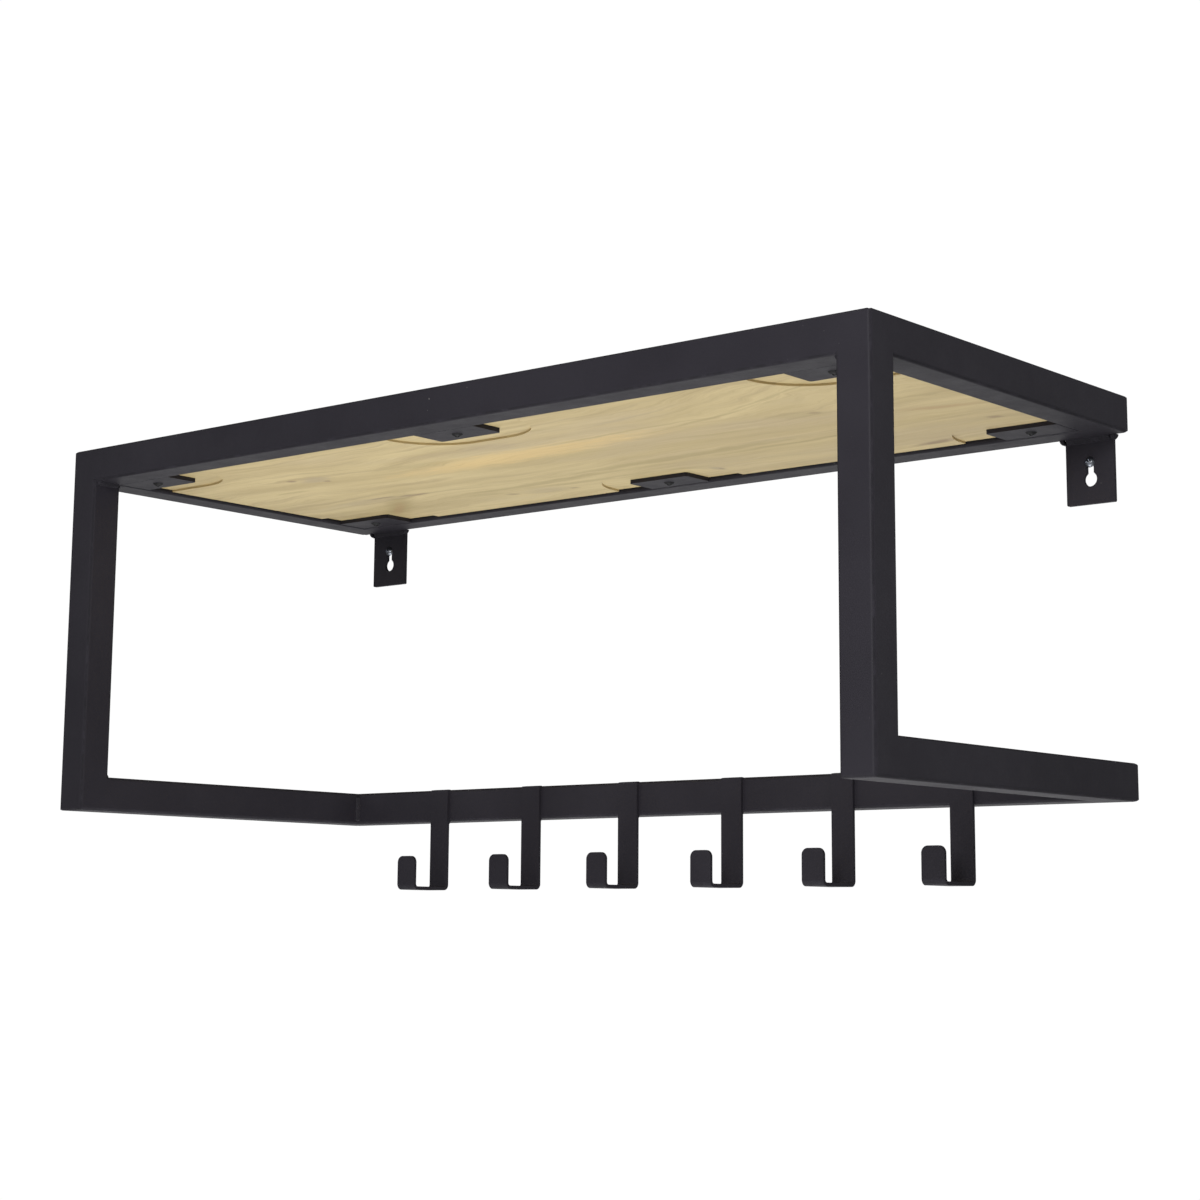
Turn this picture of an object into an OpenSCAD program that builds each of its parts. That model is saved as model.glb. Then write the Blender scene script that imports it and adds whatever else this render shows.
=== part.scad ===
// Wall coat rack: a welded square-tube frame that carries a wooden hat shelf
// and a lower bar with six flat steel hooks. It hangs on two keyhole plates,
// welded to the back of the frame, which keep it a plate's thickness off the wall.
//
// Origin: on the wall plane, midway between the two keyholes' round holes.
// +X to the right, +Y into the wall, +Z up. All sizes in millimetres.

/* [Frame] */
// Width of the frame over the outer faces of its sides
frame_w = 720; // [640:5:900]
// Depth of the frame from its back face to its front face
frame_d = 310; // [260:5:400]
// Height of the frame from the lower bar's underside to the top
frame_h = 270; // [180:5:400]
// Outer size of the square tube
tube = 25; // [22:1:30]
// Wall thickness of the tube
tube_wall = 1.5; // [1:0.25:2]
// Radius of the tube's long edges
tube_r = 2.5; // [1.5:0.25:3]
// Radius to which the frame's outer corners are ground
corner_r = 4.5; // [2.5:0.5:4.5]
// Leg of the weld fillets in the frame's inner corners
weld_leg = 3; // [2:0.5:4]

/* [Shelf board] */
// Thickness of the board
board_t = 22; // [18:1:22]
// How far the board's top lies below the frame's top
board_sink = 1; // [0:0.5:1.5]
// Gap between the board and the frame
board_gap = 1; // [0.5:0.25:2]
// Depth of the pockets routed into the board's underside
pocket_depth = 1.5; // [1:0.25:3]
// How far the pockets reach in from the front and back rails
pocket_reach = 50; // [46:1:60]
// How far the pockets reach past the sides of a tab
pocket_margin = 32; // [20:1:35]
// Radius of the pockets' inner corners
pocket_r = 44; // [5:1:45]

/* [Shelf tabs and their screws] */
// Width of a tab along the rail
tab_w = 54; // [50:1:60]
// How far a tab reaches in from the rail
tab_d = 28; // [20:1:32]
// Thickness of a tab
tab_t = 3; // [2:0.5:3.5]
// Radius of a tab's free corners
tab_r = 2; // [1:0.5:4]
// Diameter of the screw hole in a tab
tab_hole_d = 4.5; // [4.2:0.1:5]
// Head diameter of a shelf screw
shelf_screw_head_d = 8; // [7:0.5:9]
// Head height of a shelf screw
shelf_screw_head_h = 2.2; // [1.5:0.1:3]
// Shank diameter of a shelf screw
shelf_screw_d = 3.5; // [3:0.1:4]
// Length of a shelf screw under its head
shelf_screw_l = 16; // [12:1:16]

/* [Wall plates and their screws] */
// Distance of each wall plate's middle from the frame's side
plate_inset = 30; // [24:1:60]
// Width of a wall plate
plate_w = 36; // [30:1:45]
// How far a wall plate hangs below the rail
plate_h = 45; // [42:1:70]
// How far a wall plate laps up the back of the rail
plate_lap = 20; // [10:1:22]
// Thickness of a wall plate
plate_t = 3; // [2:0.5:4]
// Radius of a wall plate's corners
plate_r = 1; // [0.5:0.5:4]
// Height from the round hole of the keyhole up to the rail
keyhole_below_rail = 28; // [26:1:34]
// Diameter of the round hole of the keyhole
keyhole_d = 10; // [9:0.5:11]
// Width of the slot of the keyhole
slot_w = 5.5; // [5:0.25:6]
// Rise from the round hole to the top of the slot
slot_rise = 11; // [10:0.5:13]
// Head diameter of a wall screw
wall_screw_head_d = 7.5; // [7:0.5:9]
// Head height of a wall screw
wall_screw_head_h = 2.6; // [2:0.1:3.5]
// Shank diameter of a wall screw
wall_screw_d = 4; // [3.5:0.25:4.5]
// Length of a wall screw under its head
wall_screw_l = 20; // [14:1:60]

/* [Hooks] */
// Distance from one hook to the next
hook_pitch = 96.5; // [70:0.5:110]
// Width of the strip that a hook is bent from
strip_w = 18; // [14:1:25]
// Thickness of the strip
strip_t = 2.5; // [2:0.25:4]
// How far the hooks hang below the bar
hook_drop = 54; // [40:1:80]
// Clear width between the strip and the turned-up lip
hook_gap = 34; // [20:1:45]
// Height of the lip from the underside of the hook
lip_h = 26; // [15:1:35]
// Outer radius of the bends
bend_r = 4.5; // [4:0.25:7]
// Corner radius of the lip's free end
lip_r = 5; // [2:0.25:8]
// Corner radius of the strip's upper end
strip_top_r = 1; // [0.5:0.25:4]

/* [Hidden] */
$fn = 64;

hook_count = 6;
side = frame_w / 2;                          // outer face of the right side
inner_side = side - tube;                    // inner face of the right side
back = -plate_t;                             // back face of the frame
front = back - frame_d;                      // front face of the frame
front_inner = front + tube;                  // back faces of the front rail and posts
back_inner = back - tube;                    // front faces of the back rail and hook bar
rail_under = keyhole_below_rail;             // underside of the top frame
frame_top = rail_under + tube;
frame_bottom = frame_top - frame_h;
bar_top = frame_bottom + tube;
board_top = frame_top - board_sink;
board_under = board_top - board_t;
tab_top = board_under + pocket_depth;        // the tabs carry the ceilings of the pockets
tab_under = tab_top - tab_t;
ground_r = min(corner_r, 3 * tube_wall);     // so that grinding leaves some wall
tab_x = inner_side - tab_w / 2;              // middle of the corner tabs
tab_front = front_inner + tab_d / 2;         // middle of the front tabs
tab_back = back_inner - tab_d / 2;           // middle of the back tabs
plate_x = side - plate_inset;
strip_front = back_inner - strip_t;          // front face of a hook's strip
lip_back = strip_front - hook_gap;
hook_tip = frame_bottom - hook_drop;         // underside of the hooks
lip_top = hook_tip + lip_h;
bead = 1.2 * weld_leg;                       // leg of the beads at the plates and hooks
bead_short = 2;                              // how much shorter a bead is than its edge
bead_inset = 0.5;                            // how far a bead stays inside a plate's back
least_r = 0.3;                               // least radius inside the tube
screw_play = 0.02;                           // round a screw's shank, where it fills its hole
far = 2000;                                  // larger than the whole rack

steel_black = [0.13, 0.13, 0.14];
wood_light = [0.80, 0.70, 0.50];
zinc = [0.75, 0.76, 0.78];

function hook_x(i) = (i - (hook_count + 1) / 2) * hook_pitch;

// ---- Shared shapes ----

// A rectangle from [x0, y0] to [x1, y1] with its four corner radii, given
// counter-clockwise from the lower left
module rounded_rect(x0, y0, x1, y1, radii) {
    corners = [[x0, y0, 1, 1], [x1, y0, -1, 1], [x1, y1, -1, -1], [x0, y1, 1, -1]];
    difference() {
        translate([x0, y0]) square([x1 - x0, y1 - y0]);
        for (i = [0:3])
            if (radii[i] > 0)
                translate([corners[i][0], corners[i][1]])
                    scale_sign(corners[i][2], corners[i][3]) round_off(radii[i]);
    }
}

// Turns a shape in the first quadrant into another one
module scale_sign(sx, sy) {
    mirror([sx < 0 ? 1 : 0, 0]) mirror([0, sy < 0 ? 1 : 0]) children();
}

// What a radius takes off the corner at the origin
module round_off(r) {
    difference() {
        translate([-1, -1]) square(r + 1);
        translate([r, r]) circle(r);
    }
}

// Section of the square tube
module tube_section(solid) {
    h = tube / 2;
    i = h - tube_wall;
    ri = max(tube_r - tube_wall, least_r);
    difference() {
        rounded_rect(-h, -h, h, h, [tube_r, tube_r, tube_r, tube_r]);
        if (!solid) rounded_rect(-i, -i, i, i, [ri, ri, ri, ri]);
    }
}

// The waste beyond a mitre at the origin whose long side is towards -Y
module mitre_waste() {
    translate([0, -tube / 2, 0]) rotate([0, 0, 45])
        translate([-tube, 0, -tube]) cube([3 * tube, 2 * tube, 2 * tube]);
}

// A tube along +X. near and far_end are the turn about the tube that brings
// a mitre's long side from -Y to where it belongs, or undef for a square end
module tube_run(length, near, far_end, solid) {
    difference() {
        rotate([90, 0, 90]) linear_extrude(length) tube_section(solid);
        if (near != undef) rotate([near, 0, 0]) mitre_waste();
        if (far_end != undef)
            translate([length, 0, 0]) mirror([1, 0, 0]) rotate([far_end, 0, 0]) mitre_waste();
    }
}

// The space inside the frame's outer faces, seen from above. Its corners keep
// the radius of the tube's edges
module plan_outline() {
    translate([0, 0, -far / 2]) linear_extrude(far)
        rounded_rect(-side, front, side, back, [tube_r, tube_r, tube_r, tube_r]);
}

// The space between two heights inside the frame's front and back, seen from
// the side. The radii run from the front corner at the bottom past the back one
module side_outline(low, high, radii) {
    translate([-far / 2, 0, 0]) rotate([90, 0, 90]) linear_extrude(far)
        rounded_rect(front, low, back, high, radii);
}

// The same seen from the front, from the left corner at the bottom
module front_outline(low, high, radii) {
    translate([0, far / 2, 0]) rotate([90, 0, 0]) linear_extrude(far)
        rounded_rect(-side, low, side, high, radii);
}

// A tube across the whole width, with mitres at both ends
module x_tube(y, z, turn, solid, radii = [ground_r, ground_r, ground_r, ground_r]) {
    intersection() {
        translate([-side, y, z]) tube_run(frame_w, turn, turn, solid);
        plan_outline();
        front_outline(z - tube / 2, z + tube / 2, radii);
    }
}

// A tube along a side of the frame: sx is -1 for the left and 1 for the right.
// The back end is mitred in plan, and the front end as near says
module y_tube(sx, z, near, solid, radii) {
    intersection() {
        translate([sx * (side - tube / 2), front, z]) rotate([0, 0, 90])
            tube_run(frame_d, near, side_turn(sx), solid);
        plan_outline();
        side_outline(z - tube / 2, z + tube / 2, radii);
    }
}

// The turn that brings a side tube's long side to the outside of the frame
function side_turn(sx) = sx < 0 ? 180 : 0;

// ---- Frame ----

module front_rail_shape(solid = false) {
    x_tube(front + tube / 2, frame_top - tube / 2, 0, solid, [0, 0, ground_r, ground_r]);
}

module side_rail_shape(sx, solid = false) {
    y_tube(sx, frame_top - tube / 2, side_turn(sx), solid,
        [0, ground_r, ground_r, ground_r]);
}

module front_rail() {
    color(steel_black) front_rail_shape();
}

module back_rail() {
    color(steel_black) x_tube(back - tube / 2, frame_top - tube / 2, 180, false);
}

module side_rail(sx) {
    color(steel_black) side_rail_shape(sx);
}

// A post's top is coped to the rounded edges of the rails above it, and its
// foot is mitred to the arm
module post(sx) {
    top = rail_under + tube_r;
    color(steel_black) difference() {
        intersection() {
            translate([sx * (side - tube / 2), front + tube / 2, top])
                rotate([0, 90, 0]) tube_run(top - frame_bottom, undef, 0, false);
            side_outline(frame_bottom, frame_top, [tube_r, 0, 0, 0]);
            front_outline(frame_bottom, frame_top, [tube_r, tube_r, 0, 0]);
        }
        front_rail_shape(solid = true);
        side_rail_shape(sx, solid = true);
    }
}

// An arm's front end is mitred to the post, and its back end to the hook bar
module arm(sx) {
    long_side_down = 90;
    color(steel_black) y_tube(sx, frame_bottom + tube / 2, long_side_down, false,
        [tube_r, ground_r, ground_r, 0]);
}

module hook_bar() {
    color(steel_black) x_tube(back - tube / 2, frame_bottom + tube / 2, 180, false);
}

// ---- Shelf ----

// The pockets on one side of the board, as seen from above, with the rail's
// inner face along y = 0 and the board towards +Y. They run out through the
// board's edges, so that only the corners inside the board are rounded
module pocket_row() {
    out = pocket_r + 1;
    reach = tab_w / 2 + pocket_margin;
    for (x = [-tab_x, 0, tab_x]) {
        left = x < 0 ? -inner_side - out : x - reach;
        right = x > 0 ? inner_side + out : x + reach;
        rounded_rect(left, -1, right, pocket_reach, [0, 0, pocket_r, pocket_r]);
    }
}

module shelf_board() {
    half_w = inner_side - board_gap;
    board_front = front_inner + board_gap;
    board_d = back_inner - board_gap - board_front;
    color(wood_light) difference() {
        translate([-half_w, board_front, board_under]) cube([2 * half_w, board_d, board_t]);
        translate([0, 0, board_under - 1]) linear_extrude(pocket_depth + 1) {
            translate([0, front_inner]) pocket_row();
            translate([0, back_inner]) mirror([0, 1]) pocket_row();
        }
        at_tabs() translate([0, 0, tab_under])
            cylinder(h = shelf_screw_l + 1, r = shelf_screw_d / 2 + screw_play);
    }
}

// Puts its children at the middle of every tab
module at_tabs() {
    for (x = [-tab_x, 0, tab_x], y = [tab_front, tab_back]) translate([x, y, 0]) children();
}

// A flat tab, with its welded edge towards -Y when dir is 1 and +Y when it is -1
module tab(x, y, dir) {
    color(steel_black) translate([x, y, tab_under]) mirror([0, dir < 0 ? 1 : 0, 0])
        linear_extrude(tab_t) difference() {
            rounded_rect(-tab_w / 2, -tab_d / 2, tab_w / 2, tab_d / 2,
                [0, 0, x > 0 ? 0 : tab_r, x < 0 ? 0 : tab_r]);
            circle(d = tab_hole_d);
        }
}

// A pan-head screw whose shank points along +Z from under the head at z = 0
module pan_screw(head_d, head_h, shank_d, length) {
    dome_r = (pow(head_d / 2, 2) + pow(head_h, 2)) / (2 * head_h);
    point = shank_d;
    recess_w = head_d * 0.13;
    recess_l = head_d * 0.55;
    recess_depth = head_h * 0.6;
    tip_d = 0.5;
    difference() {
        intersection() {
            translate([0, 0, -head_h]) cylinder(h = head_h, d = head_d);
            translate([0, 0, dome_r - head_h]) sphere(dome_r);
        }
        for (turn = [0, 90])
            rotate([0, 0, turn]) translate([-recess_l / 2, -recess_w / 2, -head_h - 1])
                cube([recess_l, recess_w, 1 + recess_depth]);
    }
    cylinder(h = length - point, d = shank_d);
    translate([0, 0, length - point]) cylinder(h = point, d1 = shank_d, d2 = tip_d);
}

module shelf_screws() {
    color(steel_black) at_tabs() translate([0, 0, tab_under])
        pan_screw(shelf_screw_head_d, shelf_screw_head_h, shelf_screw_d, shelf_screw_l);
}

// ---- Wall plates ----

module keyhole_outline() {
    circle(d = keyhole_d);
    translate([-slot_w / 2, 0]) square([slot_w, slot_rise]);
    translate([0, slot_rise]) circle(d = slot_w);
}

module wall_plate(sx) {
    color(steel_black) translate([sx * plate_x, 0, 0]) rotate([90, 0, 0])
        linear_extrude(plate_t) difference() {
            rounded_rect(-plate_w / 2, rail_under - plate_h, plate_w / 2, rail_under + plate_lap,
                [plate_r, plate_r, plate_r, plate_r]);
            keyhole_outline();
        }
}

// The screws sit at the tops of the slots, with their heads on the plates
module wall_screws() {
    z = slot_rise + (slot_w - wall_screw_d) / 2 - 5 * screw_play;
    color(zinc) for (sx = [-1, 1])
        translate([sx * plate_x, -plate_t, z]) rotate([-90, 0, 0])
            pan_screw(wall_screw_head_d, wall_screw_head_h, wall_screw_d, wall_screw_l);
}

// ---- Hooks ----

// Quarter of a bent strip about the origin, in the quadrant -X -Y
module bend() {
    intersection() {
        difference() {
            circle(bend_r);
            circle(bend_r - strip_t);
        }
        translate([-bend_r, -bend_r]) square(bend_r);
    }
}

// Side view of a hook, with Y across and Z up
module hook_profile() {
    lip_front = lip_back - strip_t;
    straight_z = hook_tip + bend_r;
    translate([strip_front, straight_z]) square([strip_t, bar_top - straight_z]);
    translate([lip_front, straight_z]) square([strip_t, lip_top - straight_z]);
    translate([lip_front + bend_r, hook_tip])
        square([back_inner - lip_front - 2 * bend_r, strip_t]);
    translate([lip_front + bend_r, straight_z]) bend();
    translate([back_inner - bend_r, straight_z]) mirror([1, 0]) bend();
}

// Front view of what is left of a strip from z up, once the corners of its
// end at the height end_z are rounded
module strip_end(z, end_z, r) {
    rounded_rect(-strip_w / 2, z, strip_w / 2, end_z, [0, 0, r, r]);
}

// The strip is bent to the profile. The lip's corners are rounded, and those
// at the top of the bar are broken
module hook(i) {
    between = lip_back + hook_gap / 2;
    low = hook_tip - 1;
    color(steel_black) translate([hook_x(i), 0, 0]) intersection() {
        translate([-strip_w / 2, 0, 0]) rotate([90, 0, 90]) linear_extrude(strip_w) hook_profile();
        union() {
            translate([0, between, 0]) rotate([90, 0, 0]) linear_extrude(far)
                strip_end(low, lip_top, lip_r);
            translate([0, between + far, 0]) rotate([90, 0, 0]) linear_extrude(far)
                strip_end(low, bar_top, strip_top_r);
        }
    }
}

// ---- Welds ----

// Section of a fillet between the +X and +Y axes. It also fills the groove
// that a tube's rounded edge leaves at a corner
module fillet_section(leg) {
    difference() {
        square(leg);
        translate([leg, leg]) circle(leg);
    }
}

// Fillets under the rails beside and behind each post, in the corner of each
// post and arm, and in the corner of each arm and the hook bar
module corner_welds() {
    flat = tube - 2 * tube_r;
    mid = side - tube / 2;
    color(steel_black) for (sx = [-1, 1]) {
        // post and front rail
        translate([sx * inner_side, front_inner - tube_r, rail_under])
            mirror([sx > 0 ? 1 : 0, 0, 0]) mirror([0, 0, 1])
                rotate([90, 0, 0]) linear_extrude(flat) fillet_section(weld_leg);
        // post and side rail
        translate([sx * mid - flat / 2, front_inner, rail_under]) mirror([0, 0, 1])
            rotate([90, 0, 90]) linear_extrude(flat) fillet_section(weld_leg);
        // post and arm
        translate([sx * mid - flat / 2, front_inner, bar_top])
            rotate([90, 0, 90]) linear_extrude(flat) fillet_section(weld_leg);
        // arm and hook bar
        translate([sx * inner_side, back_inner, frame_bottom + tube_r])
            mirror([sx > 0 ? 1 : 0, 0, 0]) mirror([0, 1, 0])
                linear_extrude(flat) fillet_section(weld_leg);
    }
}

// A bead in front of each wall plate under the back rail, one at each side of
// the plate up the rail's back, and one that turns each corner between them
module plate_welds() {
    side_leg = min(weld_leg, plate_t) - bead_inset;
    side_h = plate_lap - tube_r - bead_short;
    turn = bead + plate_t - bead_inset;
    color(steel_black) for (sx = [-1, 1]) translate([sx * plate_x, back, rail_under]) {
        translate([(bead_short - plate_w) / 2, 0, 0])
            rotate([90, 0, 90]) linear_extrude(plate_w - bead_short)
                mirror([1, 0]) {
                    fillet_section(tube_r);
                    mirror([0, 1]) fillet_section(bead);
                }
        for (side_x = [-1, 1])
            translate([side_x * plate_w / 2, 0, 0]) mirror([side_x < 0 ? 1 : 0, 0, 0]) {
                translate([0, 0, tube_r]) linear_extrude(side_h) fillet_section(side_leg);
                translate([0, side_leg, 0]) mirror([0, 0, 1])
                    rotate([90, 0, 0]) linear_extrude(turn) fillet_section(bead);
            }
    }
}

// Two beads behind each hook's strip: one fills the groove at the bar's top
// edge, the other the corner under the bar
module hook_welds() {
    bead_w = strip_w - bead_short;
    color(steel_black) for (i = [1:hook_count])
        translate([hook_x(i) - bead_w / 2, back_inner, 0])
            rotate([90, 0, 90]) linear_extrude(bead_w) {
                translate([0, bar_top]) mirror([0, 1]) fillet_section(tube_r);
                translate([0, frame_bottom]) {
                    fillet_section(tube_r);
                    mirror([0, 1]) fillet_section(bead);
                }
            }
}

front_rail();
back_rail();
side_rail(-1);  // left_rail
side_rail(1);  // right_rail
post(-1);  // left_post
post(1);  // right_post
arm(-1);  // left_arm
arm(1);  // right_arm
hook_bar();
shelf_board();
tab(-tab_x, tab_front, 1);  // front_left_tab
tab(0, tab_front, 1);  // front_middle_tab
tab(tab_x, tab_front, 1);  // front_right_tab
tab(-tab_x, tab_back, -1);  // back_left_tab
tab(0, tab_back, -1);  // back_middle_tab
tab(tab_x, tab_back, -1);  // back_right_tab
shelf_screws();
wall_plate(-1);  // left_wall_plate
wall_plate(1);  // right_wall_plate
wall_screws();
hook(1);  // hook_1
hook(2);  // hook_2
hook(3);  // hook_3
hook(4);  // hook_4
hook(5);  // hook_5
hook(6);  // hook_6
corner_welds();
plate_welds();
hook_welds();
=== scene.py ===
import math

import bmesh
import bpy
from mathutils import Matrix, Vector, noise


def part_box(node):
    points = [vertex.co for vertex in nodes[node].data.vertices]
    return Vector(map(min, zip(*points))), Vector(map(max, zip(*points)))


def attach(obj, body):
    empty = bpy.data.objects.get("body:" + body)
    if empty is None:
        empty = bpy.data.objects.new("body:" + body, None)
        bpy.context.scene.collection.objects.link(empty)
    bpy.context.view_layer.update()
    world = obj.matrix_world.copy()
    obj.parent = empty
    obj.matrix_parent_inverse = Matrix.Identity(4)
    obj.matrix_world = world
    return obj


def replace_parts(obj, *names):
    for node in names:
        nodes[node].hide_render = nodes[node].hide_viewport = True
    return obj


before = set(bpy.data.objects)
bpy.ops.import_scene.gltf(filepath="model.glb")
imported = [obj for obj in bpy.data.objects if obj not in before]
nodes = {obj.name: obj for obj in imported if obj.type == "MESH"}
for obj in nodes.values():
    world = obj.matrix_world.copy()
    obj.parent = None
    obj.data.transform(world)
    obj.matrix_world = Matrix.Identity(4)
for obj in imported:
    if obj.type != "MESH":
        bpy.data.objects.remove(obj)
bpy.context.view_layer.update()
scene = bpy.context.scene
MM = 0.001


# ---------------------------------------------------------------- node helpers


class Shader:
    """A material's node tree, with short calls for the few nodes used here."""

    def __init__(self, name):
        self.mat = bpy.data.materials.new(name)
        self.mat.use_nodes = True
        self.tree = self.mat.node_tree
        self.bsdf = next(n for n in self.tree.nodes if n.type == "BSDF_PRINCIPLED")
        self.pos = self.new("ShaderNodeTexCoord").outputs["Object"]

    def new(self, kind):
        return self.tree.nodes.new(kind)

    def feed(self, socket, value):
        if isinstance(value, bpy.types.NodeSocket):
            self.tree.links.new(value, socket)
        elif isinstance(value, (tuple, list)) and socket.type == "RGBA" and len(value) == 3:
            socket.default_value = (*value, 1.0)
        else:
            socket.default_value = value

    def math(self, op, a, b=0.0):
        n = self.new("ShaderNodeMath")
        n.operation = op
        for socket, value in zip(n.inputs, (a, b)):
            self.feed(socket, value)
        return n.outputs[0]

    def vec(self, op, a, b=(0.0, 0.0, 0.0)):
        n = self.new("ShaderNodeVectorMath")
        n.operation = op
        self.feed(n.inputs[0], a)
        self.feed(n.inputs[1], b)
        return n.outputs["Value" if op == "LENGTH" else "Vector"]

    def split(self, v):
        n = self.new("ShaderNodeSeparateXYZ")
        self.feed(n.inputs[0], v)
        return n.outputs[:3]

    def join(self, x, y, z):
        n = self.new("ShaderNodeCombineXYZ")
        for socket, value in zip(n.inputs, (x, y, z)):
            self.feed(socket, value)
        return n.outputs[0]

    def noise(self, at, scale=(1.0, 1.0, 1.0), detail=2.0, rough=0.5, warp=0.0):
        n = self.new("ShaderNodeTexNoise")
        self.feed(n.inputs["Vector"], self.vec("MULTIPLY", at, scale))
        n.inputs["Scale"].default_value = 1.0
        n.inputs["Detail"].default_value = detail
        n.inputs["Roughness"].default_value = rough
        n.inputs["Distortion"].default_value = warp
        return n.outputs["Fac"]

    def ramp(self, value, low, high, out_low=0.0, out_high=1.0):
        n = self.new("ShaderNodeMapRange")
        n.interpolation_type = "SMOOTHSTEP"
        n.clamp = True
        self.feed(n.inputs["Value"], value)
        ends = {"From Min": low, "From Max": high, "To Min": out_low, "To Max": out_high}
        for key, end in ends.items():
            n.inputs[key].default_value = end
        return n.outputs["Result"]

    def mix(self, share, a, b):
        n = self.new("ShaderNodeMix")
        n.data_type, n.blend_type = "RGBA", "MIX"
        self.feed(n.inputs[0], share)
        self.feed(n.inputs[6], a)
        self.feed(n.inputs[7], b)
        return n.outputs[2]

    def tint(self, colour, mask, strength, shade):
        """The colour with a shade laid over it where the mask is 1."""
        return self.mix(self.math("MULTIPLY", mask, strength), colour, shade)

    def bump(self, height, distance, under=None):
        n = self.new("ShaderNodeBump")
        n.inputs["Strength"].default_value = 1.0
        n.inputs["Distance"].default_value = distance
        self.feed(n.inputs["Height"], height)
        if under is not None:
            self.feed(n.inputs["Normal"], under)
        return n.outputs["Normal"]

    def edges(self, low, high):
        """How far the surface's own normal is from the frame's axes: 1 on a rounded edge, 0 on a flat."""
        x, y, z = self.split(self.vec("ABSOLUTE", self.new("ShaderNodeNewGeometry").outputs["Normal"]))
        return self.ramp(self.math("MAXIMUM", x, self.math("MAXIMUM", y, z)), high, low, 0.0, 1.0)

    def finish(self, **sockets):
        for name, value in sockets.items():
            self.feed(self.bsdf.inputs[name.replace("_", " ")], value)
        return self.mat


# ---------------------------------------------------------------- materials


def powder_coat(name, dark, light, rough, grain=1.0):
    """Black powder coat: a fine texture over a soft orange peel, a little dust, rubbed edges, and painted
    shade that darkens the rounded edges.
    """
    dust = (0.25, 0.24, 0.23)
    # painted shade: a darker copy of the coat for the rounded edges, standing in for the shade they get
    # from the light
    painted_edge_shade = [0.45 * c for c in dark]
    rubbed = [2.1 * c for c in light]
    s = Shader(name)
    cloud = s.noise(s.pos, (9, 9, 9), 3, 0.6)
    speck = s.ramp(s.noise(s.pos, (420, 420, 420), 1, 0.4), 0.80, 0.84)
    dusty = s.ramp(s.noise(s.pos, (11, 11, 11), 2), 0.5, 0.75)
    wear = s.ramp(s.noise(s.pos, (70, 70, 70), 4, 0.7), 0.42, 0.7)
    rub = s.math("MULTIPLY", s.edges(0.80, 0.97), wear)
    rounded = s.edges(0.80, 0.99)
    colour = s.mix(s.ramp(cloud, 0.3, 0.7), dark, light)
    # painted shade: the rounded edges are darkened here, as if in shade
    colour = s.tint(colour, rounded, 0.6, painted_edge_shade)
    colour = s.tint(colour, rub, 0.35, rubbed)
    colour = s.tint(colour, s.math("MULTIPLY", speck, dusty), 0.5, dust)
    smears = s.ramp(s.noise(s.pos, (35, 35, 35), 4, 0.65), 0.25, 0.75, rough - 0.05, rough + 0.06)
    roughness = s.math("ADD", smears, s.math("MULTIPLY", rounded, 0.22))
    peel = s.bump(s.noise(s.pos, (260, 260, 260), 2, 0.5), 0.00010 * grain)
    fine = s.bump(s.noise(s.pos, (1300, 1300, 1300), 2, 0.6), 0.00006 * grain, peel)
    return s.finish(Base_Color=colour, Roughness=roughness, Normal=fine, Specular_IOR_Level=0.2)


# what shows on the board's underside: the middle of each knot or streak in millimetres, its length and
# width, how far it leans, its strength and its colour
OLIVE, BROWN = (0.34, 0.262, 0.105), (0.24, 0.155, 0.085)
RED, GREY = (0.40, 0.25, 0.11), (0.34, 0.265, 0.175)
MARKS = (
    (-70, -94, 300, 15, -0.05, 0.50, OLIVE),
    (60, -112, 330, 17, -0.05, 0.55, OLIVE),
    (150, -103, 200, 8, -0.04, 0.45, OLIVE),
    (-30, -78, 230, 11, 0.05, 0.35, OLIVE),
    (-238, -86, 120, 44, -0.9, 0.55, OLIVE),
    (-250, -74, 60, 18, -0.9, 0.55, RED),
    (-228, -119, 40, 6, 0.0, 0.70, BROWN),
    (-196, -114, 44, 10, 0.1, 0.60, BROWN),
    (-240, -115, 120, 22, 0.0, 0.35, GREY),
    (-262, -177, 50, 7, 0.0, 0.45, OLIVE),
    (-209, -206, 46, 22, -0.15, 0.50, GREY),
    (-228, -212, 12, 7, 0.0, 0.75, BROWN),
    (-205, -196, 10, 8, 0.0, 0.60, BROWN),
    (-20, -222, 60, 26, 0.1, 0.30, GREY),
    (-110, -200, 120, 20, 0.1, 0.35, OLIVE),
    (59, -60, 14, 22, 0.3, 0.55, GREY),
    (60, -57, 5, 10, 0.3, 0.60, BROWN),
    (-76, -62, 12, 8, 0.2, 0.60, BROWN),
    (-131, -69, 14, 9, 0.3, 0.60, BROWN),
    (-98, -67, 60, 30, 0.0, 0.35, GREY),
    (-150, -80, 60, 14, 0.2, 0.35, OLIVE),
    (226, -179, 14, 13, 0.1, 0.60, BROWN),
    (215, -178, 60, 26, 0.1, 0.35, OLIVE),
    (236, -47, 52, 14, -0.2, 0.75, BROWN),
    (302, -143, 76, 15, 0.2, 0.60, RED),
    (312, -96, 16, 12, 0.2, 0.60, BROWN),
    (80, -205, 240, 6, -0.05, 0.45, OLIVE),
    (160, -206, 170, 6, -0.25, 0.45, OLIVE),
    (226, -232, 130, 6, -0.4, 0.45, OLIVE),
    (120, -240, 110, 8, -0.2, 0.30, GREY),
    (140, -160, 140, 8, 0.1, 0.35, OLIVE),
    (40, -245, 80, 12, 0.0, 0.25, OLIVE),
)


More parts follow.
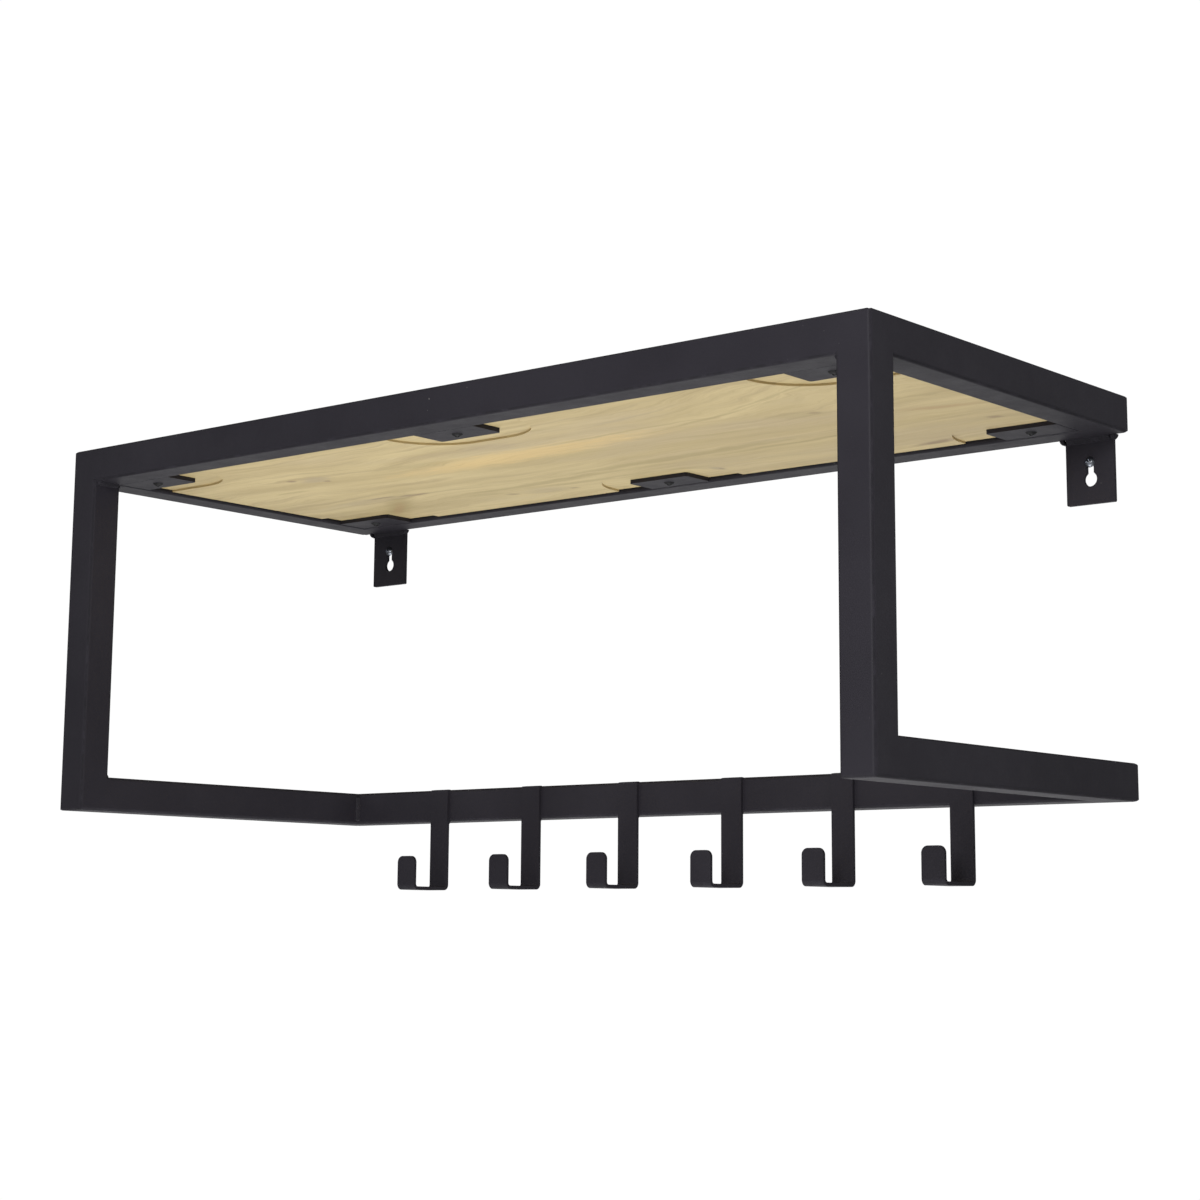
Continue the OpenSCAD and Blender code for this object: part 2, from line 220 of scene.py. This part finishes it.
def wood(name):
    """Light hardwood with the grain along X: bands, fine lines, short pores, marks and a yellow streak,
    with painted light on the steep faces.
    """
    straw, tan, ring_tan = (0.605, 0.485, 0.240), (0.475, 0.370, 0.172), (0.36, 0.265, 0.125)
    dull, yellow, sawn_tone_and_painted_light = (0.47, 0.375, 0.235), (0.70, 0.50, 0.20), (0.60, 0.46, 0.23)
    line_tan, pore_brown = (0.36, 0.265, 0.14), (0.26, 0.18, 0.10)
    s = Shader(name)
    x, y, z = s.split(s.pos)
    wander = s.noise(s.pos, (4.5, 9, 9), 3, 0.5)
    ripple = s.noise(s.pos, (22, 42, 42), 3, 0.55)
    shift = s.math("ADD", s.math("MULTIPLY", wander, 0.055), s.math("MULTIPLY", ripple, 0.014))
    # towards the front right the grain sweeps down
    sweep = s.math("MULTIPLY", s.ramp(x, 0.06, 0.34), s.ramp(y, -0.16, -0.26))
    grain_y = s.math("ADD", s.math("ADD", y, shift), s.math("MULTIPLY", sweep, 0.05))
    grain = s.join(x, grain_y, z)

    broad = s.noise(grain, (3.6, 26, 22), 5, 0.6)
    rings = s.noise(grain, (5.0, 110, 80), 4, 0.62)
    lines = s.noise(grain, (16, 560, 300), 4, 0.65)
    patch = s.noise(s.pos, (5, 16, 16), 3, 0.5)
    colour = s.mix(s.ramp(broad, 0.36, 0.66), straw, tan)
    colour = s.tint(colour, s.ramp(rings, 0.50, 0.72), 0.55, ring_tan)
    colour = s.tint(colour, s.ramp(patch, 0.50, 0.72), 0.40, dull)

    swing = 0.012
    swayed_y = s.math("ADD", y, s.math("MULTIPLY", ripple, swing))
    ragged = s.math("SUBTRACT", s.noise(s.pos, (60, 260, 260), 3, 0.6), 0.5)
    fringe = s.math("MULTIPLY", ragged, 0.84)

    def mark(cx, cy, length, width, lean):
        """1 in the middle of a long blot at (cx, cy) in millimetres, falling to 0 at its ragged edge."""
        dx = s.math("SUBTRACT", x, cx * MM)
        dy = s.math("SUBTRACT", swayed_y, cy * MM + swing / 2)
        dy = s.math("SUBTRACT", dy, s.math("MULTIPLY", dx, lean))
        along = s.math("MULTIPLY", dx, 2 / (length * MM))
        across = s.math("MULTIPLY", dy, 2 / (width * MM))
        r = s.vec("LENGTH", s.join(along, across, 0.0))
        return s.ramp(s.math("ADD", r, fringe), 1.0, 0.25)

    colour = s.tint(colour, mark(-20, -186, 340, 50, -0.07), 0.7, yellow)
    for cx, cy, length, width, lean, strength, shade in MARKS:
        colour = s.tint(colour, mark(cx, cy, length, width, lean), strength, shade)

    colour = s.tint(colour, s.ramp(lines, 0.45, 0.75), 0.30, line_tan)
    pores = s.ramp(s.noise(grain, (70, 2300, 1600), 2, 0.5), 0.66, 0.74)
    colour = s.tint(colour, pores, 0.35, pore_brown)
    # painted light: the board's edges and pocket walls are made lighter, partly the tone of sawn wood and
    # partly to make up for the shade these walls get
    normal_z = s.split(s.new("ShaderNodeNewGeometry").outputs["Normal"])[2]
    steep_faces = s.ramp(s.math("ABSOLUTE", normal_z), 0.7, 0.3)
    colour = s.tint(colour, steep_faces, 0.7, sawn_tone_and_painted_light)
    roughness = s.math("ADD", s.ramp(lines, 0.2, 0.8, 0.52, 0.66), s.math("MULTIPLY", pores, 0.1))
    height = s.math("SUBTRACT", s.math("MULTIPLY", lines, 0.5), s.math("MULTIPLY", pores, 0.5))
    waves = s.bump(broad, 0.0006)
    return s.finish(Base_Color=colour, Roughness=roughness, Normal=s.bump(height, 0.00012, waves))


def zinc(name):
    """Bright zinc plating, a little cloudy, with fine scratches."""
    bright, dull = (0.30, 0.32, 0.36), (0.19, 0.20, 0.22)
    s = Shader(name)
    cloud = s.noise(s.pos, (500, 500, 500), 3, 0.6)
    scratch = s.noise(s.pos, (3000, 800, 3000), 2, 0.5, 1.0)
    colour = s.mix(s.ramp(cloud, 0.3, 0.7), bright, dull)
    roughness = s.ramp(s.math("ADD", cloud, s.math("MULTIPLY", scratch, 0.5)), 0.4, 1.1, 0.22, 0.42)
    return s.finish(Base_Color=colour, Metallic=1.0, Roughness=roughness, Normal=s.bump(scratch, 0.00002))


COAT_DARK, COAT_LIGHT = (0.0158, 0.0142, 0.0192), (0.0205, 0.0186, 0.0246)
SCREW_DARK, SCREW_LIGHT = (0.012, 0.012, 0.013), (0.02, 0.02, 0.021)
coat = powder_coat("black_powder_coat", COAT_DARK, COAT_LIGHT, 0.58)
black_screw = powder_coat("black_screw", SCREW_DARK, SCREW_LIGHT, 0.38, 0.4)
OTHERS = {"shelf_board": wood("board_wood"), "shelf_screws": black_screw, "wall_screws": zinc("zinc_screw")}

for name, o in nodes.items():
    o.data.materials.clear()
    o.data.materials.append(OTHERS.get(name, coat))


# ---------------------------------------------------------------- weld beads
# sizes and places in this section are in millimetres


def box_mm(node):
    """Lowest and highest corner of a CAD node, without the last digits of single precision."""
    return [[round(c / MM, 3) for c in corner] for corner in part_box(node)]


EDGE = 2.5  # radius of the tube's long edges
ROOT = 0.25  # how far a bead reaches into the steel
BEAD_STEP, LUMP_STEP = 0.35, 0.45  # between the rings of a mesh
RIPPLE_PITCH, LUMP_PITCH = 1.5, 1.6


def skin(b, rings):
    """Joins rings of vertices with faces and closes both ends."""
    n = len(rings[0])
    for one, two in zip(rings, rings[1:]):
        for k in range(n):
            b.faces.new((one[k], one[(k + 1) % n], two[(k + 1) % n], two[k]))
    b.faces.new(rings[0][::-1])
    b.faces.new(rings[-1])


def bead_mesh(b, origin, along, u, v, length, leg, bulge=0.16, ripple=0.09, taper=1.6, seed=0.0):
    """Adds one rippled bead: a fillet of the given leg in the corner between u and v."""
    origin, along, u, v = (Vector(c) for c in (origin, along, u, v))
    steps, across = max(8, int(length / BEAD_STEP)), 7
    rings = []
    for i in range(steps + 1):
        at = length * i / steps
        end = min(at, length - at) / taper
        full = math.sqrt(max(0.0, 1 - (1 - min(1.0, end)) ** 2)) * 0.9 + 0.1
        sway = noise.noise(Vector((at * 0.45, seed, 0)))
        size = leg * full * (0.95 + 0.10 * sway)
        ring = []
        for k in range(across + 1):
            t = k / across
            crest = abs(math.sin(math.pi * (at / RIPPLE_PITCH + 0.35 * (2 * t - 1) ** 2 + seed)))
            out = size * (bulge * 4 * t * (1 - t) + ripple * crest * min(1.0, 6 * t * (1 - t)))
            ring.append(u * (size * (1 - t) + out * 0.7) + v * (size * t + out * 0.7))
        ring += [v * size - u * ROOT, -u * ROOT - v * ROOT, u * size - v * ROOT]
        rings.append([b.verts.new((origin + along * at + c) * MM) for c in ring])
    skin(b, rings)


def lump_mesh(b, centre, length, thick, high, seed):
    """Adds a flattened, lumpy bead along X round a centre line."""
    centre = Vector(centre)
    steps, around = max(10, int(length / LUMP_STEP)), 10
    rings = []
    for i in range(1, steps):
        at = length * (i / steps - 0.5)
        full = math.sqrt(1 - min(0.96, (abs(2 * at) / length) ** 4))
        wobble = noise.noise(Vector((at * 0.5, seed, 3)))
        crest = 0.88 + 0.12 * abs(math.sin(math.pi * at / LUMP_PITCH)) + 0.16 * wobble
        ring = []
        for k in range(around):
            a = 2 * math.pi * k / around
            out = Vector((at, thick * full * crest * math.cos(a), high * full * crest * math.sin(a)))
            ring.append(b.verts.new((centre + out) * MM))
        rings.append(ring)
    skin(b, rings)


def to_object(b, name):
    """A welded-on piece of powder-coated steel from what has been built in b."""
    bmesh.ops.recalc_face_normals(b, faces=b.faces)
    mesh = bpy.data.meshes.new(name)
    b.to_mesh(mesh)
    b.free()
    for face in mesh.polygons:
        face.use_smooth = True
    mesh.materials.append(coat)
    o = bpy.data.objects.new(name, mesh)
    scene.collection.objects.link(o)
    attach(o, "root")
    return o


rail_low, rail_high = box_mm("front_rail")
side_low, side_high = box_mm("right_rail")
bar_low, bar_high = box_mm("hook_bar")
UNDER, FRONT = rail_low[2], rail_high[1]  # underside of the rails, back face of the front rail
BOTTOM, BAR_TOP, BACK = bar_low[2], bar_high[2], bar_low[1]  # lower bar, and its front face
# inner face and middle of a side tube
INNER, MIDDLE = side_low[0], (side_low[0] + side_high[0]) / 2
FLAT = rail_high[2] - rail_low[2] - 2 * EDGE  # width of a tube's flat face
X, Y, Z = (1, 0, 0), (0, 1, 0), (0, 0, 1)
FORWARD, DOWN = (0, -1, 0), (0, 0, -1)  # away from the wall, and down
CORNER_LEG, BEAD_LEG = 2.9, 3.5
SHORT = 2  # how much shorter a bead is than its edge
# a bead that sinks into the groove along a tube's rounded edge, without ripples and with short ends
SUNK = {"bulge": -0.207, "ripple": 0, "taper": 0.3}

b = bmesh.new()
for sx in (-1, 1):
    inwards, across_x = (-sx, 0, 0), sx * MIDDLE - FLAT / 2
    bead_mesh(b, (sx * INNER, FRONT - EDGE, UNDER), FORWARD, inwards, DOWN, FLAT, CORNER_LEG, seed=sx + 0.1)
    bead_mesh(b, (across_x, FRONT, UNDER), X, Y, DOWN, FLAT, CORNER_LEG, seed=sx + 0.3)
    bead_mesh(b, (across_x, FRONT, BAR_TOP), X, Y, Z, FLAT, CORNER_LEG, seed=sx + 0.5)
    bead_mesh(b, (sx * INNER, BACK, BOTTOM + EDGE), Z, inwards, FORWARD, FLAT, CORNER_LEG, seed=sx + 0.7)
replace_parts(to_object(b, "corner_beads"), "corner_welds")

WALL_GAP = 0.5  # how far the beads stay off the wall
TURN = 6.1  # length of the beads that turn a plate's corners under the rail
b = bmesh.new()
for sx, node in ((-1, "left_wall_plate"), (1, "right_wall_plate")):
    low, high = box_mm(node)
    y = low[1]
    start, length = (low[0] + SHORT / 2, y, UNDER), high[0] - low[0] - SHORT
    side_length, side_leg = high[2] - UNDER - EDGE - SHORT, high[1] - y - WALL_GAP
    bead_mesh(b, start, X, FORWARD, Z, length, EDGE, seed=sx, **SUNK)
    bead_mesh(b, start, X, FORWARD, DOWN, length, BEAD_LEG, seed=sx + 0.2)
    for side, edge in ((-1, low[0]), (1, high[0])):
        out = (side, 0, 0)
        bead_mesh(b, (edge, y, UNDER + EDGE), Z, out, Y, side_length, side_leg, 0.0, 0.05, seed=sx + side)
        turn_start = (edge, high[1] - WALL_GAP, UNDER)
        bead_mesh(b, turn_start, FORWARD, out, DOWN, TURN, BEAD_LEG, seed=sx + side * 0.4)
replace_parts(to_object(b, "plate_beads"), "plate_welds")

HOOKS = sorted(n for n in nodes if n.startswith("hook_") and n[5:].isdigit())
b = bmesh.new()
for i, node in enumerate(HOOKS):
    low, high = box_mm(node)
    x, length = low[0] + SHORT / 2, high[0] - low[0] - SHORT
    bead_mesh(b, (x, BACK, BAR_TOP), X, Y, DOWN, length, EDGE, seed=i, **SUNK)
    bead_mesh(b, (x, BACK, BOTTOM), X, Y, Z, length, EDGE, seed=i, **SUNK)
    bead_mesh(b, (x, BACK, BOTTOM), X, Y, DOWN, length, BEAD_LEG, seed=i + 0.2)
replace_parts(to_object(b, "hook_beads"), "hook_welds")

# short welds in the groove between each tab and its rail
GROOVE_IN, GROOVE_UP = 0.45, 1  # middle of the groove, from the rail's face and underside
LUMPS = ((-17, 13), (1, 15), (18, 12))  # places along a tab, and lengths
LUMP_THICK, LUMP_HIGH = 1.4, 0.9
b = bmesh.new()
for i, place in enumerate(("left", "middle", "right")):
    low, high = box_mm(f"front_{place}_tab")
    x = (low[0] + high[0]) / 2
    for j, y in enumerate((FRONT - GROOVE_IN, BACK + GROOVE_IN)):
        for k, (off, length) in enumerate(LUMPS):
            centre = (x + off, y, UNDER + GROOVE_UP)
            lump_mesh(b, centre, length, LUMP_THICK, LUMP_HIGH, i * 7 + j * 3 + k)
to_object(b, "tab_beads")

# broken edges of what is cut from board, plate and strip
BEVELS = {"shelf_board": 0.6, "left_wall_plate": 0.35, "right_wall_plate": 0.35}
BEVELS.update({n: 0.35 for n in nodes if n.endswith("_tab")})
BEVELS.update({n: 0.45 for n in HOOKS})
for name, width in BEVELS.items():
    m = nodes[name].modifiers.new("edges", "BEVEL")
    m.width, m.segments, m.limit_method, m.angle_limit = width * MM, 2, "ANGLE", math.radians(50)
    m.harden_normals = True


# ---------------------------------------------------------------- camera


def aim(camera, place, yaw, pitch, roll):
    """Places and turns the camera, in radians: yaw from +Y towards +X, pitch up, roll to the right."""
    ahead = Vector((math.sin(yaw) * math.cos(pitch), math.cos(yaw) * math.cos(pitch), math.sin(pitch)))
    right = Vector((math.cos(yaw), -math.sin(yaw), 0))
    up = right.cross(ahead)
    right, up = right * math.cos(roll) + up * math.sin(roll), up * math.cos(roll) - right * math.sin(roll)
    m = Matrix((right, up, -ahead)).transposed().to_4x4()
    m.translation = place
    camera.matrix_world = m


cam = bpy.data.objects.new("camera", bpy.data.cameras.new("camera"))
scene.collection.objects.link(cam)
scene.camera = cam
cam.data.sensor_width, cam.data.lens = 36.0, 74.71
cam.data.shift_y = -0.0833
aim(cam, place=(1.1325, -1.4818, -0.3041), yaw=-0.6947, pitch=0.1725, roll=0.0069)


# ---------------------------------------------------------------- floor and light

GLOW, SKY = 0.05, 0.16  # light given off by the floor and by the surroundings
WHITE = 1.02  # just over 1, so that the background clips to pure white
FLOOR_Z, FLOOR_HALF = -1.45, 40
LAMPS = (
    # name, place, target, width, height, watts
    ("front", (1.1, -1.9, 0.35), (0.1, -0.25, -0.08), 1.2, 1.0, 42),
    ("left", (-1.9, -2.0, 0.4), (-0.1, -0.2, -0.1), 1.2, 1.2, 4),
    ("backdrop", (-1.6, 2.6, -0.8), (0.0, -0.2, -0.1), 4.0, 1.5, 12),
    ("under", (-0.1, -0.2, -1.35), (0.0, -0.16, 0.0), 1.6, 1.0, 16),
    ("back_right", (1.3, 0.5, 0.1), (0.36, -0.1, 0.0), 0.7, 0.9, 2),
    ("top", (0.0, -0.2, 2.2), (0.0, -0.15, 0.0), 1.6, 1.2, 18),
)

floor_mesh = bpy.data.meshes.new("floor")
b = bmesh.new()
bmesh.ops.create_grid(b, x_segments=8, y_segments=8, size=FLOOR_HALF)
b.to_mesh(floor_mesh)
b.free()
floor = bpy.data.objects.new("floor", floor_mesh)
floor.location = (0, 0, FLOOR_Z)
scene.collection.objects.link(floor)


def seen_as_white(tree, other, out):
    """Pure white to the camera, `other` to every other ray."""
    white, path, pick = (tree.nodes.new("ShaderNode" + k) for k in ("Emission", "LightPath", "MixShader"))
    white.inputs["Strength"].default_value = WHITE
    tree.links.new(path.outputs["Is Camera Ray"], pick.inputs[0])
    tree.links.new(other, pick.inputs[1])
    tree.links.new(white.outputs[0], pick.inputs[2])
    tree.links.new(pick.outputs[0], out)


paper = Shader("floor_white")
paper.finish(Base_Color=(0.8, 0.8, 0.8), Roughness=0.9, Emission_Color=(1, 1, 1), Emission_Strength=GLOW)
seen_as_white(paper.tree, paper.bsdf.outputs[0], paper.tree.nodes["Material Output"].inputs["Surface"])
floor_mesh.materials.append(paper.mat)

world = bpy.data.worlds.new("studio")
scene.world = world
world.use_nodes = True
lit = world.node_tree.nodes["Background"]
lit.inputs["Color"].default_value = (1, 1, 1, 1)
lit.inputs["Strength"].default_value = SKY
seen_as_white(world.node_tree, lit.outputs[0], world.node_tree.nodes["World Output"].inputs["Surface"])

for name, place, target, wide, high, watts in LAMPS:
    light = bpy.data.lights.new(name, "AREA")
    light.shape, light.size, light.size_y, light.energy = "RECTANGLE", wide, high, watts
    o = bpy.data.objects.new(name, light)
    o.location = place
    o.rotation_euler = (Vector(target) - Vector(place)).to_track_quat("-Z", "Y").to_euler()
    o.visible_camera = False
    scene.collection.objects.link(o)

scene.view_settings.view_transform = "Standard"
scene.view_settings.look = "None"
